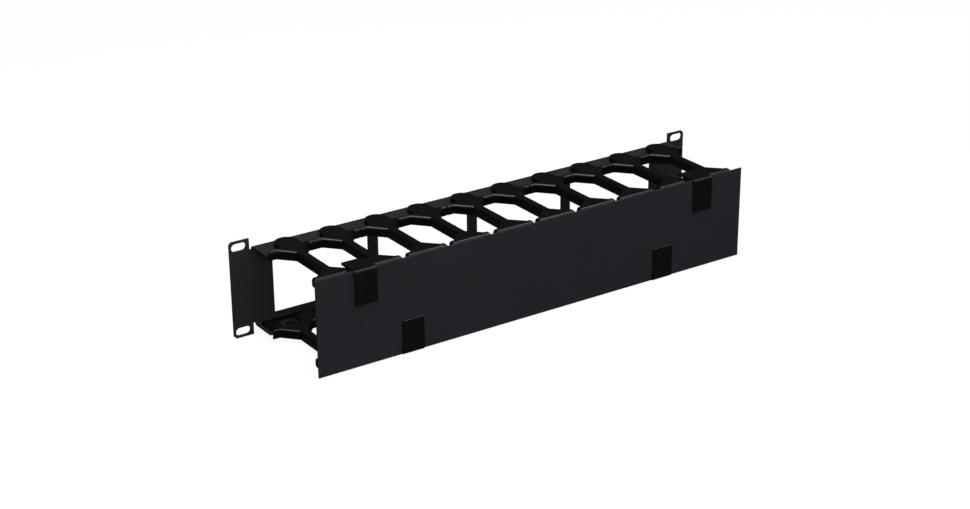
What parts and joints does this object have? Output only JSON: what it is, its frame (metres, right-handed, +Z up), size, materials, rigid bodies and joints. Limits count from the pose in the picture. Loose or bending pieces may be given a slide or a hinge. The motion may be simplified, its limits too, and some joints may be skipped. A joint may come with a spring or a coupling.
{
  "type": "horizontal cable manager",
  "caption": "Open-ended horizontal rack channel with moulded cable fingers above and below, rear windows, and a flat front cover on hinge clips that drops down or swings up.",
  "frame": {"origin": "middle of the mounting face, which is the rear face of the rack ears, centred between the four rack slots", "axes": "+X to the right along the rack, +Y to the rear into the rack, +Z up"},
  "size_m": [0.4826, 0.1104, 0.0872],
  "materials": {
    "chassis_steel": "black powder coat, fine grain, satin",
    "cover_steel": "black powder coat, fine grain, satin",
    "finger_plastic": "black moulded plastic with bevelled edges",
    "clip_plastic": "black moulded plastic",
    "pin_plastic": "black moulded plastic"
  },
  "bodies": {
    "root": {"chassis": "chassis_steel", "top_finger_module_1": "finger_plastic", "top_finger_module_2": "finger_plastic", "top_finger_module_3": "finger_plastic", "top_finger_module_4": "finger_plastic", "top_finger_module_5": "finger_plastic", "bottom_finger_module_1": "finger_plastic", "bottom_finger_module_2": "finger_plastic", "bottom_finger_module_3": "finger_plastic", "bottom_finger_module_4": "finger_plastic", "bottom_finger_module_5": "finger_plastic", "bottom_left_hook_plate": "clip_plastic", "bottom_left_hinge_pin": "pin_plastic", "bottom_right_hook_plate": "clip_plastic", "bottom_right_hinge_pin": "pin_plastic"},
    "top_hooks": {"top_left_hook_plate": "clip_plastic", "top_left_hinge_pin": "pin_plastic", "top_right_hook_plate": "clip_plastic", "top_right_hinge_pin": "pin_plastic"},
    "cover": {"cover": "cover_steel", "top_left_cover_leaf": "clip_plastic", "top_right_cover_leaf": "clip_plastic", "bottom_left_cover_leaf": "clip_plastic", "bottom_right_cover_leaf": "clip_plastic"}
  },
  "joints": [
    {"name": "cover_drop", "type": "hinge", "parent": "root", "child": "top_hooks", "pos_m": [0, -0.1076, -0.0404], "axis": [1, 0, 0], "range_deg": [0, 110]},
    {"name": "cover_lift", "type": "hinge", "parent": "top_hooks", "child": "cover", "pos_m": [0, -0.1076, 0.0404], "axis": [-1, 0, 0], "range_deg": [0, 110]}
  ]
}
